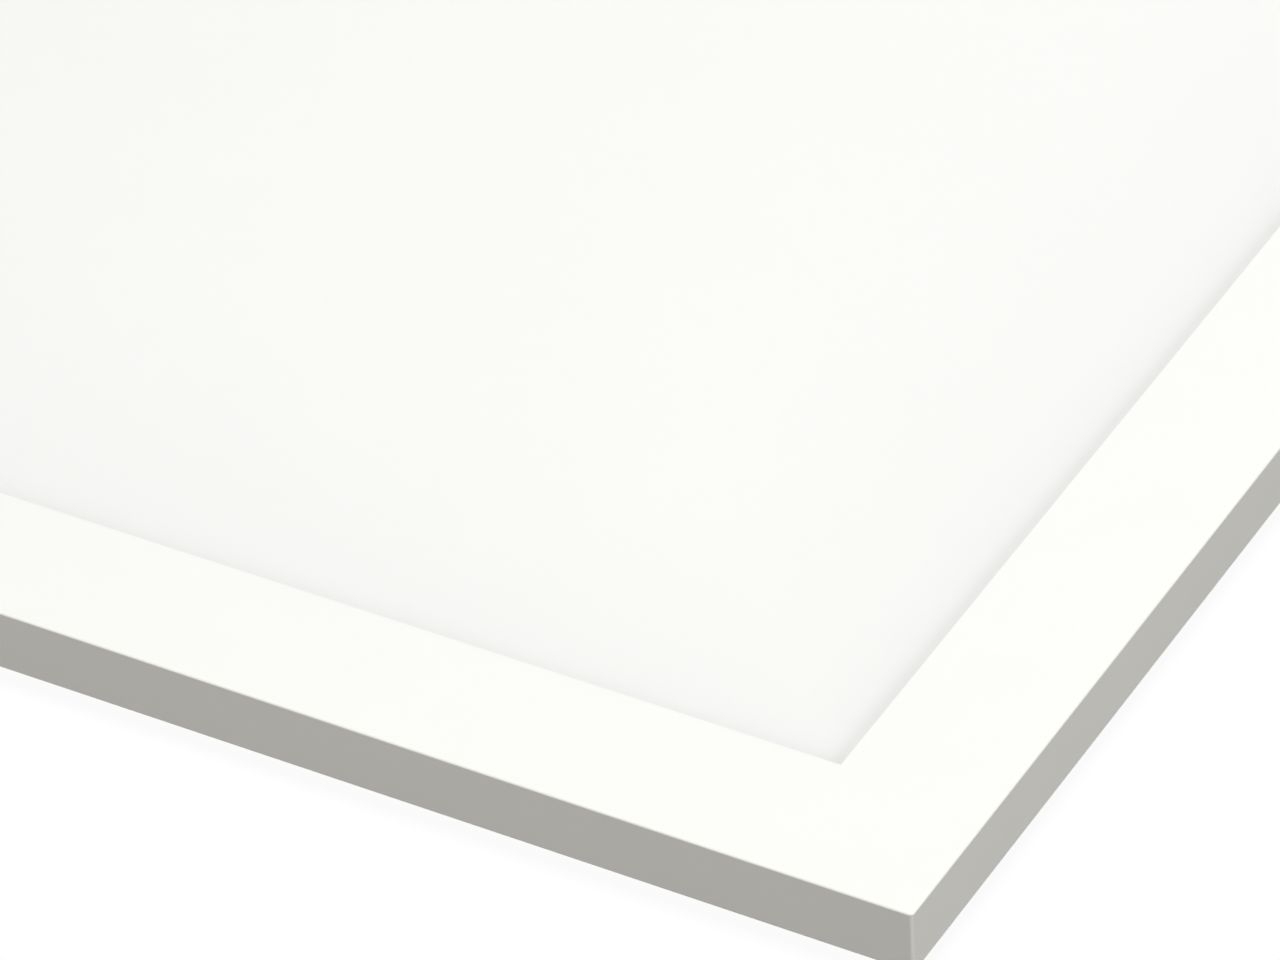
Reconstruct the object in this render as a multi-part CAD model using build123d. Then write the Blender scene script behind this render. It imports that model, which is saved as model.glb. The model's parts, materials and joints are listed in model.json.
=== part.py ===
"""Slim edge-lit light table for viewing film and prints, modelled in millimetres.

Four mitred aluminium extrusions hold an opal diffuser over an acrylic light guide, which is lit from its
two short edges by LED strips. A pressed sheet cover closes the back. The control board, with its power
inlet and push button, sits in a bay milled into the rear rail.

Origin: the centre of the table's footprint, on the surface that it stands on. +X runs along the long side,
+Y to the rear edge with the inlet, and +Z up through the lit face.

A rail has a frame of its own: x along it from its middle, y inwards from its outer face, z as the table's.
The control bay and everything in it are drawn in the rear rail's frame, whose +x is the table's left.
"""

import math
import os

from build123d import *

# ---------------------------------------------------------------- the table
panel_width = 475.0  # over the outer faces, along X
panel_depth = 355.0  # over the outer faces, along Y
frame_height = 10.0  # the rails alone, without the feet
bezel_width = 22.5  # flat border round the lit face
corner_radius = 0.5  # the frame's upright corners, deburred
edge_radius = 0.3  # the rails' long outer edges

# ---------------------------------------------------------------- rail section
bezel_thickness = 1.2
outer_wall = 1.4
chamber_width = 8.0
web_wall = 1.2
flange_thickness = 1.2
chamber_fillet = 0.2

# ---------------------------------------------------------------- back cover
cover_thickness = 0.8
cover_recess = 0.2  # from the rails' underside up to the cover
cover_gap = 0.2  # to the outer wall, all round
cover_corner = 1.5
pan_inset = 62.0  # the pressed field, from the outer faces
pan_rise = 0.6
pan_corner = 16.0

# ---------------------------------------------------------------- layers of the lit face
diffuser_thickness = 1.5
guide_thickness = 4.0
reflector_thickness = 0.25
guide_corner = 9.0  # chamfer that leaves room for the strips' sockets
foam_margin = 0.5  # from the light guide's outline in to the foam's
spacer_gap = 0.1  # between an edge spacer and the light guide

# ---------------------------------------------------------------- LED strips, one on each short side
tape_thickness = 0.2
strip_thickness = 1.0
strip_height = 5.6
strip_end_gap = 2.0  # from the light guide's end to the strip's
led_length = 3.5
led_width = 2.8
led_height = 0.7
led_rim = 0.35
led_pocket = 0.4
led_fill_depth = 0.3
led_pitch = 10.0
led_gap = 0.2  # air between the LEDs and the light guide
strip_socket_length = 4.0
strip_socket_depth = 2.5
strip_socket_inset = 0.3  # from the strip's end

# ---------------------------------------------------------------- corner keys
key_arm = 30.0  # from the frame's outer corner
key_gap = 0.1  # over the key, which the screws pull down on the flange
key_tip = 1.2
key_teeth = 4  # serrations on each side of an arm
key_tooth_pitch = 3.2
key_tooth_depth = 0.35
key_screw_inset = 20.0  # from the frame's outer corner

# ---------------------------------------------------------------- screws
thread_gap = 0.05
hole_gap = 0.2
cover_screw_radius = 1.25
cover_screw_length = 3.0
cover_screw_head_radius = 2.6
cover_screw_head_height = 0.9
cover_screw_from_corner = 40.0
long_side_screw_count = 5
short_side_screw_count = 4
key_screw_radius = 1.25
key_screw_length = 5.0
key_screw_head_radius = 2.1
board_screw_radius = 1.0
board_screw_length = 3.6
board_screw_head_radius = 1.9
board_nut_radius = 1.9
board_nut_height = 1.5

# ---------------------------------------------------------------- feet
foot_height = 2.0  # from the surface to the rails' underside
foot_base_radius = 6.2
foot_top_radius = 7.2
foot_edge = 0.5
foot_dimple_radius = 2.6
foot_dimple_depth = 0.7
foot_inset = 42.0  # from the outer faces
foot_stem_radius = 2.0
foot_stem_gap = 0.1
foot_barb_radius = 2.9
foot_barb_height = 1.4
foot_barb_room = 1.1  # round a barb, through the foam

# ---------------------------------------------------------------- control board, in a bay in the rear rail
insulator_thickness = 0.2
board_thickness = 0.8
board_margin = 1.0  # at each end of the bay
board_rear_gap = 0.4  # to the light guide
part_gap = 1.5  # between neighbours on the board
part_line = 5.6  # from the outer face to the middle of the parts
chip_size = (4.9, 3.9, 1.5)  # the dimmer chip, without its legs
chip_leg_pitch = 1.27
chip_leg_width = 0.4
chip_leg_length = 1.0
transistor_size = (5.4, 6.0, 2.3)
inductor_size = (5.0, 5.0, 2.6)
inductor_drum_radius = 2.1
inductor_drum_lip = 0.4
capacitor_radius = 2.0
capacitor_height = 3.8

# ---------------------------------------------------------------- power inlet, for a 5.5 x 2.1 mm plug
jack_bore_radius = 2.85
jack_wall = 0.3
jack_collar_gap = 0.1
jack_recess = 0.1  # from the rail's outer face to the collar
jack_front_gap = 0.3  # between the outer wall and the body
jack_body_width = 9.0
jack_body_clearance = 0.2  # over and under the body
jack_bore_depth = 9.5
jack_back = 1.0
jack_notch_gap = 0.2
jack_pin_radius = 1.0
jack_pin_recess = 2.4  # from the collar's mouth to the pin's tip
jack_pin_tail_radius = 0.7
jack_tab_length = 2.0
jack_tab_reach = 1.2
tab_thickness = 0.3

# ---------------------------------------------------------------- push button and its switch
button_length = 7.6
button_height = 3.2
button_gap = 0.2  # between the cap and its hole
button_proud = 1.7  # the cap beyond the rail's outer face, at rest
button_travel = 1.5
button_edge = 0.35
button_flange = 1.0
button_flange_gap = 0.05  # to the outer wall, at rest
button_flange_overlap = 0.5
button_boss = 3.4
button_boss_length = 1.5
button_boss_floor = 0.4  # solid cap in front of the plunger's tip
switch_width = 5.0
switch_depth = 5.4
switch_rest_gap = 0.2  # between the boss and the switch, pressed
switch_back = 0.6
switch_tab_length = 1.2
plunger_size = 2.0
plunger_gap = 0.05
plunger_in_switch = 2.0  # at rest
spring_wire = 0.2
spring_turns = 3

# ---------------------------------------------------------------- leads and their sockets
lead_radius = 0.5
lead_pitch = 1.5  # between the two leads of a pair
lead_bend = 2.4
lead_exit_x = 37.0  # from the frame's end to the middle of the slot in the web
lead_exit_run = 5.0
lead_slot_margin = 1.2
lead_socket_length = 4.0
lead_socket_width = 4.0
lead_socket_height = 4.2
lead_socket_inset = 1.0  # from the board's end

# ---------------------------------------------------------------- heights
frame_bottom = foot_height
frame_top = frame_bottom + frame_height
lip_underside = frame_top - bezel_thickness
cover_underside = frame_bottom + cover_recess
cover_top = cover_underside + cover_thickness
flange_top = cover_top + flange_thickness
chamber_height = lip_underside - flange_top
chamber_middle = (lip_underside + flange_top) / 2

guide_top = lip_underside - diffuser_thickness
guide_bottom = guide_top - guide_thickness
guide_middle = (guide_top + guide_bottom) / 2
reflector_bottom = guide_bottom - reflector_thickness
foam_bottom = cover_top + pan_rise

board_bottom = flange_top + insulator_thickness
board_top = board_bottom + board_thickness

# ---------------------------------------------------------------- distances in from an outer face
web_outer = outer_wall + chamber_width
web_inner = web_outer + web_wall
chamber_line = outer_wall + chamber_width / 2
strip_back = web_inner + tape_thickness
strip_face = strip_back + strip_thickness
guide_inset = strip_face + led_height + led_gap
guide_width = panel_width - 2 * guide_inset
guide_depth = panel_depth - 2 * guide_inset
strip_length = guide_depth - 2 * strip_end_gap
channel_line = (web_inner + guide_inset) / 2  # along the rear edge, where the leads run

board_front = outer_wall + chamber_fillet
board_rear = guide_inset - board_rear_gap
jack_body_height = chamber_height - 2 * jack_body_clearance
jack_body_front = outer_wall + jack_front_gap
jack_body_rear = jack_recess + jack_bore_depth + jack_back
switch_height = 2 * (chamber_middle - board_top)
flange_front = outer_wall + button_flange_gap
flange_back = flange_front + button_flange
boss_back = flange_back + button_boss_length
switch_front = boss_back + button_travel + switch_rest_gap
plunger_front = flange_front + button_boss_floor
plunger_rear = switch_front + plunger_in_switch
switch_bore_rear = switch_front + switch_depth - switch_back

# ---------------------------------------------------------------- along the rear rail
# The board's parts in their order along the rail, with the length that each takes up.
board_row = {
    "right_socket": lead_socket_length,
    "input_capacitor": 2 * capacitor_radius,
    "jack": jack_body_width + 2 * jack_tab_reach,
    "jack_nut": 2 * board_nut_radius,
    "chip": chip_size[0],
    "transistor": transistor_size[0],
    "button": button_length + 2 * button_flange_overlap,
    "inductor": inductor_size[0],
    "output_capacitor": 2 * capacitor_radius,
    "end_nut": 2 * board_nut_radius,
    "left_socket": lead_socket_length,
}
board_length = sum(board_row.values()) + part_gap * (len(board_row) - 1) + 2 * lead_socket_inset
bay_length = board_length + 2 * board_margin
# The bay lies midway between the last two cover screws at the table's right end.
cover_screw_pitch = (panel_width - 2 * cover_screw_from_corner) / (long_side_screw_count - 1)
bay_x = cover_screw_from_corner + cover_screw_pitch / 2 - panel_width / 2

fit = 0.02  # between a pin, peg or screw and the hole that holds it
past = 1.0  # how far a cut runs past the face that it opens
diagonal = math.sqrt(2)  # of a unit square

corners = {
    "front_left": (-1, -1, 0),
    "front_right": (1, -1, 90),
    "rear_right": (1, 1, 180),
    "rear_left": (-1, 1, 270),
}


# ---------------------------------------------------------------- helpers
def block(x_span, y_span, z_span):
    """A box from the low and high value along each axis."""
    spans = (x_span, y_span, z_span)
    middle = [(low + high) / 2 for low, high in spans]
    return Pos(*middle) * Box(*(high - low for low, high in spans))


def upright(radius, x, y, z_low, z_high):
    """A cylinder along Z."""
    return Pos(x, y, (z_low + z_high) / 2) * Cylinder(radius, z_high - z_low)


def inward(face, y_low, y_high):
    """A section drawn in the XZ plane, extruded from y_low to y_high."""
    return Pos(0, y_low, 0) * extrude(face, y_high - y_low, dir=(0, 1, 0))


def slab(sketch, z_low, z_high):
    """A plan outline, extruded between two heights."""
    return Pos(0, 0, z_low) * extrude(sketch, z_high - z_low)


def spread(length, count):
    """Even positions over a length, from its middle."""
    return [length * (i / (count - 1) - 0.5) for i in range(count)]


def rail_place(side):
    """Carries a rail's own frame to the table's."""
    places = {
        "front": Pos(0, -panel_depth / 2, 0),
        "right": Pos(panel_width / 2, 0, 0) * Rot(0, 0, 90),
        "rear": Pos(0, panel_depth / 2, 0) * Rot(0, 0, 180),
        "left": Pos(-panel_width / 2, 0, 0) * Rot(0, 0, 270),
    }
    return places[side]


def corner_place(corner):
    """Carries a frame at an outer corner, x and y both inwards along the faces, to the table's."""
    x_sign, y_sign, turn = corners[corner]
    return Pos(x_sign * panel_width / 2, y_sign * panel_depth / 2, 0) * Rot(0, 0, turn)


# ---------------------------------------------------------------- rails
def rail_section():
    """The extrusion's section in the YZ plane: bezel, outer wall, web and flange round one chamber."""
    outline = Polyline(
        (0, frame_bottom),
        (outer_wall, frame_bottom),
        (outer_wall, cover_top),
        (web_inner, cover_top),
        (web_inner, lip_underside),
        (bezel_width, lip_underside),
        (bezel_width, frame_top),
        (0, frame_top),
        close=True,
    )
    body = make_face(outline)
    body = fillet(body.vertices().group_by(Axis.X)[0], edge_radius)
    chamber = RectangleRounded(chamber_width, chamber_height, chamber_fillet)
    return Plane.YZ * (body - Pos(chamber_line, chamber_middle) * chamber)


def mitred_plan(length, across):
    """A rail's outline from above: cut at 45 degrees and rounded at the frame's corners."""
    half = length / 2
    inner = half - bezel_width
    trapezoid = Polyline((-half, 0), (half, 0), (inner, bezel_width), (-inner, bezel_width), close=True)
    frame = Pos(0, across / 2) * RectangleRounded(length, across, corner_radius)
    return make_face(trapezoid) & frame


def cover_screw_line(length, count):
    """Where the cover's screws lie along a rail."""
    return spread(length - 2 * cover_screw_from_corner, count)


def rail(length, across, screw_count):
    """A mitred rail with the flange drilled for the cover's screws and countersunk for the keys'."""
    body = extrude(rail_section(), length / 2, both=True)
    body &= slab(mitred_plan(length, across), frame_bottom, frame_top)
    for x in cover_screw_line(length, screw_count):
        body -= upright(cover_screw_radius + thread_gap, x, chamber_line, cover_top, flange_top)
    for x in (key_screw_inset - length / 2, length / 2 - key_screw_inset):
        body -= Pos(x, chamber_line, cover_top) * sunk_hole(key_screw_radius, key_screw_head_radius)
    return body


def upright_plane(name):
    """The XZ plane centred on the inlet's or the button's axis."""
    return Plane(origin=(board_place(name), 0, chamber_middle), x_dir=(1, 0, 0), z_dir=(0, -1, 0))


def button_outline(margin=0.0):
    """The cap's face, or its hole with a margin, in the XZ plane."""
    return upright_plane("button") * SlotOverall(button_length + 2 * margin, button_height + 2 * margin)


def rear_rail():
    """The rear rail, milled for the control bay, the inlet, the button and the leads' way out."""
    body = rail(panel_width, panel_depth, long_side_screw_count)
    bay = (bay_x - bay_length / 2, bay_x + bay_length / 2)
    body -= block(bay, (outer_wall + chamber_fillet, web_inner + past), (flange_top, lip_underside))
    wall_back = outer_wall + chamber_fillet
    body -= inward(jack_circle(jack_bore_radius + jack_wall + jack_collar_gap), -past, wall_back)
    body -= inward(button_outline(button_gap), -past, wall_back)
    for side in (-1, 1):
        slot = sorted(side * x for x in lead_slot_span())
        body -= block(slot, (web_outer - chamber_fillet, web_inner + past), lead_slot_heights())
    for x, y in board_screw_spots():
        body -= Pos(x, y, cover_top) * sunk_hole(board_screw_radius, board_screw_head_radius)
    return body


# ---------------------------------------------------------------- countersunk screws, driven from below
def sunk_hole(radius, head_radius):
    """A countersunk hole through the flange, from its underside at z = 0."""
    sink = head_radius - radius
    cone = Pos(0, 0, sink / 2) * Cone(head_radius + fit, radius + fit, sink)
    return cone + upright(radius + fit, 0, 0, sink, flange_thickness)


def sunk_screw(radius, head_radius, length):
    """A countersunk screw, its head flush with the flange's underside at z = 0."""
    sink = head_radius - radius
    head = Pos(0, 0, sink / 2) * Cone(head_radius, radius, sink)
    return head + upright(radius, 0, 0, sink, length)


# ---------------------------------------------------------------- corner keys and their screws
def key_outline():
    """An L with serrated arms and chamfered tips, from above, in a corner's frame."""
    low = outer_wall + chamber_fillet
    high = web_outer - chamber_fillet
    ell = [(low, low), (key_arm, low), (key_arm, high), (high, high), (high, key_arm), (low, key_arm)]
    body = make_face(Polyline(*ell, close=True))
    tips = [v for v in body.vertices() if max(v.X, v.Y) > key_arm - key_tip]
    body = chamfer(tips, key_tip)
    notch = Rot(0, 0, 45) * Rectangle(key_tooth_depth * diagonal, key_tooth_depth * diagonal)
    first = key_arm - 2 * key_tip
    for i in range(key_teeth):
        along = first - i * key_tooth_pitch
        for side in (low, high):
            body -= Pos(along, side) * notch
            body -= Pos(side, along) * notch
    return body


def corner_key():
    """A die-cast key that fills the chambers of two rails, tapped once in each arm."""
    body = slab(key_outline(), flange_top, lip_underside - key_gap)
    for x, y in ((key_screw_inset, chamber_line), (chamber_line, key_screw_inset)):
        body -= upright(key_screw_radius + thread_gap, x, y, flange_top, cover_top + key_screw_length + past)
    return body


def key_screws():
    """All the keys' screws, two at each corner."""
    screw = sunk_screw(key_screw_radius, key_screw_head_radius, key_screw_length)
    spots = ((key_screw_inset, chamber_line), (chamber_line, key_screw_inset))
    return [corner_place(c) * Pos(x, y, cover_top) * screw for c in corners for x, y in spots]


# ---------------------------------------------------------------- layers of the lit face
def guide_outline(margin=0.0):
    """The light guide's plan, its corners cut off, or the same drawn in by a margin."""
    plan = Rectangle(guide_width - 2 * margin, guide_depth - 2 * margin)
    return chamfer(plan.vertices(), guide_corner)


def foot_spots():
    """The feet's centres."""
    reach_x = panel_width / 2 - foot_inset
    reach_y = panel_depth / 2 - foot_inset
    return {corner: (x * reach_x, y * reach_y) for corner, (x, y, _) in corners.items()}


def foam():
    """The foam sheet that presses the layers up against the lip, holed over the feet's barbs."""
    body = slab(guide_outline(foam_margin), foam_bottom, reflector_bottom)
    for x, y in foot_spots().values():
        body -= upright(foot_barb_radius + foot_barb_room, x, y, foam_bottom, reflector_bottom)
    return body


def edge_spacer(x_low, x_high):
    """A white bar between the web and the light guide, in a rail's frame."""
    return block((x_low, x_high), (web_inner, guide_inset - spacer_gap), (guide_bottom, guide_top))


def front_spacer():
    """The front spacer, as long as the light guide's straight edge."""
    half = guide_width / 2 - guide_corner
    return rail_place("front") * edge_spacer(-half, half)


def rear_spacers():
    """The rear spacers, one on each side of the bay, which stop short of the leads' slots."""
    end = lead_slot_span()[0] - lead_slot_margin
    spans = ((-end, bay_x - bay_length / 2), (bay_x + bay_length / 2, end))
    return [rail_place("rear") * edge_spacer(*span) for span in spans]


# ---------------------------------------------------------------- LED strips, in a side rail's frame
def strip_tape():
    """Thermal tape between the web and the strip."""
    return strip_bar(web_inner, strip_back)


def strip_bar(y_low, y_high):
    """A bar of the strip's length and height, as high as the light guide's middle."""
    heights = (guide_middle - strip_height / 2, guide_middle + strip_height / 2)
    return block((-strip_length / 2, strip_length / 2), (y_low, y_high), heights)


def led_line():
    """The LEDs' places along a strip, clear of the sockets at its ends."""
    room = strip_length / 2 - strip_socket_inset - strip_socket_length - led_length
    steps = math.floor(room / led_pitch)
    return [i * led_pitch for i in range(-steps, steps + 1)]


def led_package():
    """A white package at the strip's face, with a pocket that opens towards the light guide."""
    body = block(
        (-led_length / 2, led_length / 2),
        (strip_face, strip_face + led_height),
        (guide_middle - led_width / 2, guide_middle + led_width / 2),
    )
    return body - led_fill(led_pocket)


def led_fill(depth):
    """The pocket's room, to a depth below the package's rim."""
    rim = strip_face + led_height
    return block(
        (led_rim - led_length / 2, led_length / 2 - led_rim),
        (rim - led_pocket, rim - led_pocket + depth),
        (guide_middle - led_width / 2 + led_rim, guide_middle + led_width / 2 - led_rim),
    )


def led_row(piece):
    """A copy of a piece at each LED."""
    return [Pos(x, 0, 0) * piece for x in led_line()]


def strip_socket(end):
    """The white socket on a strip, at the end given by its sign along the side rail."""
    outer = end * (strip_length / 2 - strip_socket_inset)
    span = sorted((outer, outer - end * strip_socket_length))
    return block(span, (strip_face, strip_face + strip_socket_depth), (guide_bottom, guide_top))


# ---------------------------------------------------------------- back cover, its screws and feet
def cover():
    """A sheet with a pressed field that rises against the foam, holed for screws and feet."""
    inset = outer_wall + cover_gap
    plan = RectangleRounded(panel_width - 2 * inset, panel_depth - 2 * inset, cover_corner)
    body = slab(plan, cover_underside, cover_top)
    wall = cover_thickness * (diagonal - 1)  # keeps the sheet's thickness on the 45 degree sides
    body += Pos(0, 0, cover_top) * pressed_field(0)
    body -= Pos(0, 0, cover_underside) * pressed_field(wall)
    for x, y in foot_spots().values():
        body -= upright(foot_stem_radius + foot_stem_gap, x, y, cover_underside, cover_top)
    for spot in cover_screw_spots():
        body -= spot * upright(cover_screw_radius + hole_gap, 0, 0, cover_underside, cover_top)
    return body


def pressed_field(wall):
    """The raised field's volume over a level, with 45 degree sides, drawn in by a wall."""
    drawn = pan_inset + wall
    plan = RectangleRounded(panel_width - 2 * drawn, panel_depth - 2 * drawn, pan_corner - wall)
    return extrude(plan, pan_rise, taper=45)


def cover_screw_spots():
    """A place on each rail's flange for each of the cover's screws."""
    lines = {
        "front": cover_screw_line(panel_width, long_side_screw_count),
        "rear": cover_screw_line(panel_width, long_side_screw_count),
        "left": cover_screw_line(panel_depth, short_side_screw_count),
        "right": cover_screw_line(panel_depth, short_side_screw_count),
    }
    return [rail_place(side) * Pos(x, chamber_line, 0) for side, line in lines.items() for x in line]


def cover_screw():
    """A wafer-head screw, its head under the cover."""
    head = upright(cover_screw_head_radius, 0, 0, cover_underside - cover_screw_head_height, cover_underside)
    head = fillet(head.edges().group_by(Axis.Z)[0], cover_screw_head_height / 2)
    return head + upright(cover_screw_radius, 0, 0, cover_underside, cover_underside + cover_screw_length)


def foot():
    """A push-in rubber foot: a dimpled pad, a stem through the cover and a barb over it."""
    barb_top = cover_top + foot_barb_height
    outline = Polyline(
        (0, foot_dimple_depth),
        (foot_dimple_radius, foot_dimple_depth),
        (foot_dimple_radius, 0),
        (foot_base_radius, 0),
        (foot_top_radius, cover_underside),
        (foot_stem_radius, cover_underside),
        (foot_stem_radius, cover_top),
        (foot_barb_radius, cover_top),
        (foot_stem_radius / 2, barb_top),
        (0, barb_top),
        close=True,
    )
    section = make_face(outline)
    rim = section.vertices().group_by(Axis.Y)[0].sort_by(Axis.X)[-1]
    return revolve(Plane.XZ * fillet(rim, foot_edge), Axis.Z)


# ---------------------------------------------------------------- control board, in the rear rail's frame
def board_place(name):
    """Where a part of the board's row has its middle, along the rail."""
    before = list(board_row).index(name)
    start = bay_x - board_length / 2 + lead_socket_inset + part_gap * before
    return start + sum(list(board_row.values())[:before]) + board_row[name] / 2


def board_span():
    """The board's ends along the rail."""
    return bay_x - board_length / 2, bay_x + board_length / 2


def board_screw_spots():
    """The board's two screws: beside the inlet and by the far socket."""
    return [(board_place(name), chamber_line) for name in ("jack_nut", "end_nut")]


def control_board():
    """The board, notched round the sunk inlet."""
    body = block(board_span(), (board_front, board_rear), (board_bottom, board_top))
    half = jack_body_width / 2 + jack_notch_gap
    notch = (board_place("jack") - half, board_place("jack") + half)
    depths = (board_front - past, jack_body_rear + jack_notch_gap)
    body -= block(notch, depths, (board_bottom - past, board_top + past))
    for x, y in board_screw_spots():
        body -= upright(board_screw_radius + fit, x, y, board_bottom, board_top)
    return body


def board_insulator():
    """A film between the board and the metal flange."""
    body = block(board_span(), (board_front, web_inner), (flange_top, board_bottom))
    for x, y in board_screw_spots():
        body -= upright(board_screw_radius + fit, x, y, flange_top, board_bottom)
    return body


def board_screws():
    """The board's screws, countersunk in the flange and turned up into the nuts."""
    screw = sunk_screw(board_screw_radius, board_screw_head_radius, board_screw_length)
    return [Pos(x, y, cover_top) * screw for x, y in board_screw_spots()]


def board_nuts():
    """The round nuts soldered on the board."""
    nut = upright(board_nut_radius, 0, 0, board_top, board_top + board_nut_height)
    nut -= upright(board_screw_radius + thread_gap, 0, 0, board_top, board_top + board_nut_height)
    return [Pos(x, y, 0) * nut for x, y in board_screw_spots()]


def jack_circle(radius):
    """A circle round the inlet's axis, in the XZ plane."""
    return upright_plane("jack") * Circle(radius)


def jack_housing():
    """The inlet's moulding: a collar in the wall's hole, a body sunk in the board and a blind bore."""
    span = (board_place("jack") - jack_body_width / 2, board_place("jack") + jack_body_width / 2)
    heights = (chamber_middle - jack_body_height / 2, chamber_middle + jack_body_height / 2)
    body = block(span, (jack_body_front, jack_body_rear), heights)
    body += inward(jack_circle(jack_bore_radius + jack_wall), jack_recess, jack_body_front)
    body -= inward(jack_circle(jack_bore_radius), jack_recess, jack_recess + jack_bore_depth)
    return body - inward(jack_circle(jack_pin_tail_radius + fit), jack_recess, jack_body_rear)


def jack_pin():
    """The centre pin, shouldered on the bore's floor with its tail through the back."""
    floor = jack_recess + jack_bore_depth
    pin = inward(jack_circle(jack_pin_radius), jack_recess + jack_pin_recess, floor)
    pin = fillet(pin.edges().group_by(Axis.Y)[0], jack_pin_radius / 2)
    return pin + inward(jack_circle(jack_pin_tail_radius), floor, jack_body_rear + tab_thickness)


def jack_tabs():
    """Three solder tabs that carry the sunk inlet on the board."""
    edge = jack_body_width / 2
    front = board_front + jack_tab_length / 2
    rear = jack_body_rear - jack_tab_length
    tabs = []
    for side, y in ((1, rear), (-1, rear), (-1, front)):
        span = sorted(board_place("jack") + side * reach for reach in (edge, edge + jack_tab_reach))
        tabs.append(block(span, (y, y + jack_tab_length), (board_top, board_top + tab_thickness)))
    return tabs


def power_button():
    """The cap: a rounded bar through the wall, a flange behind it and a boss on the plunger."""
    cap = inward(button_outline(), -button_proud, flange_front)
    cap = fillet(cap.edges().group_by(Axis.Y)[0], button_edge)
    cap += inward(button_outline(button_flange_overlap), flange_front, flange_back)
    cap += square_bar(button_boss, flange_back, boss_back)
    return cap - square_bar(plunger_size + 2 * fit, plunger_front, boss_back)


def square_bar(size, y_low, y_high):
    """A square bar along the button's axis."""
    x = board_place("button")
    half = size / 2
    return block((x - half, x + half), (y_low, y_high), (chamber_middle - half, chamber_middle + half))


def switch_body():
    """The switch's case on the board, with the plunger's guide."""
    x = board_place("button")
    span = (x - switch_width / 2, x + switch_width / 2)
    body = block(span, (switch_front, switch_front + switch_depth), (board_top, board_top + switch_height))
    return body - square_bar(plunger_size + 2 * plunger_gap, switch_front, switch_bore_rear)


def switch_spring():
    """The return spring between the plunger and the guide's floor, relaxed to its length at rest."""
    length = switch_bore_rear - plunger_rear - spring_wire
    radius = plunger_size / 2 - spring_wire
    path = Helix(length / spring_turns, length, radius)
    wire = sweep(Plane(path @ 0, z_dir=path % 0) * Circle(spring_wire / 2), path=path, is_frenet=True)
    seat = Pos(board_place("button"), plunger_rear + spring_wire / 2, chamber_middle)
    return seat * Rot(-90, 0, 0) * wire


def switch_tabs():
    """Four solder tabs beside the switch."""
    edge = switch_width / 2
    tabs = []
    for side in (-1, 1):
        span = sorted(board_place("button") + side * reach for reach in (edge, edge + switch_tab_length))
        for y in (switch_front, switch_front + switch_depth - switch_tab_length):
            tabs.append(block(span, (y, y + switch_tab_length), (board_top, board_top + tab_thickness)))
    return tabs


# ---------------------------------------------------------------- parts on the board
def on_board(name, size):
    """A block of a size that stands on the board at its place in the row."""
    length, depth, height = size
    middle = board_place(name)
    return block(
        (middle - length / 2, middle + length / 2),
        (part_line - depth / 2, part_line + depth / 2),
        (board_top, board_top + height),
    )


def dimmer_chip():
    """The eight-legged dimmer chip."""
    length, depth, height = chip_size
    body = on_board("chip", chip_size)
    legs = []
    for x in spread(3 * chip_leg_pitch, 4):
        for side in (-1, 1):
            near = part_line + side * depth / 2
            span = sorted((near, near + side * chip_leg_length))
            middle = board_place("chip") + x
            ends = (middle - chip_leg_width / 2, middle + chip_leg_width / 2)
            legs.append(block(ends, span, (board_top, board_top + height / 4)))
    return [body, *legs]


def inductor():
    """The driver's drum inductor: two square flanges and the winding between them."""
    length, depth, height = inductor_size
    lower = on_board("inductor", (length, depth, inductor_drum_lip))
    upper = Pos(0, 0, height - inductor_drum_lip) * lower
    drum = upright(inductor_drum_radius, board_place("inductor"), part_line, board_top, board_top + height)
    return lower + upper + drum


def capacitors():
    """The round can capacitors."""
    top = board_top + capacitor_height
    places = [board_place(name) for name in ("input_capacitor", "output_capacitor")]
    cans = [upright(capacitor_radius, x, part_line, board_top, top) for x in places]
    return [fillet(can.edges().group_by(Axis.Z)[-1], capacitor_radius / 5) for can in cans]


# ---------------------------------------------------------------- leads, in the rear rail's frame
def lead_slot_span():
    """The slot where the leads cross the web, as distances from the rail's middle."""
    start = panel_width / 2 - lead_exit_x - lead_exit_run
    slope = 2 * lead_exit_run / (channel_line - chamber_line)
    near, far = (start + (y - chamber_line) * slope for y in (web_outer, web_inner))
    return near - lead_slot_margin, far + lead_slot_margin


def lead_slot_heights():
    """The slot's height in the web, over and under a pair of leads."""
    reach = lead_pitch / 2 + 2 * lead_radius
    return chamber_middle - reach, chamber_middle + reach


def lead_start(side):
    """The outer face of the socket at the board's end on that side."""
    return bay_x + side * (board_length / 2 - lead_socket_inset)


def lead_socket(side):
    """The socket at the board's end on that side."""
    span = sorted((lead_start(side), lead_start(side) - side * lead_socket_length))
    depths = (chamber_line - lead_socket_width / 2, chamber_line + lead_socket_width / 2)
    return block(span, depths, (board_top, board_top + lead_socket_height))


def lead(side, level):
    """One lead: along the chamber, out through the web's slot, and round the corner to the strip's socket."""
    z = chamber_middle + level * lead_pitch / 2
    slot = side * (panel_width / 2 - lead_exit_x)
    corner = side * (panel_width / 2 - strip_face - strip_socket_depth / 2)
    socket = guide_inset + strip_end_gap + strip_socket_inset
    path = FilletPolyline(
        (lead_start(side), chamber_line, z),
        (slot - side * lead_exit_run, chamber_line, z),
        (slot + side * lead_exit_run, channel_line, z),
        (corner, channel_line, z),
        (corner, socket, z),
        radius=lead_bend,
    )
    return sweep(Plane(path @ 0, z_dir=path % 0) * Circle(lead_radius), path=path)


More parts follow.
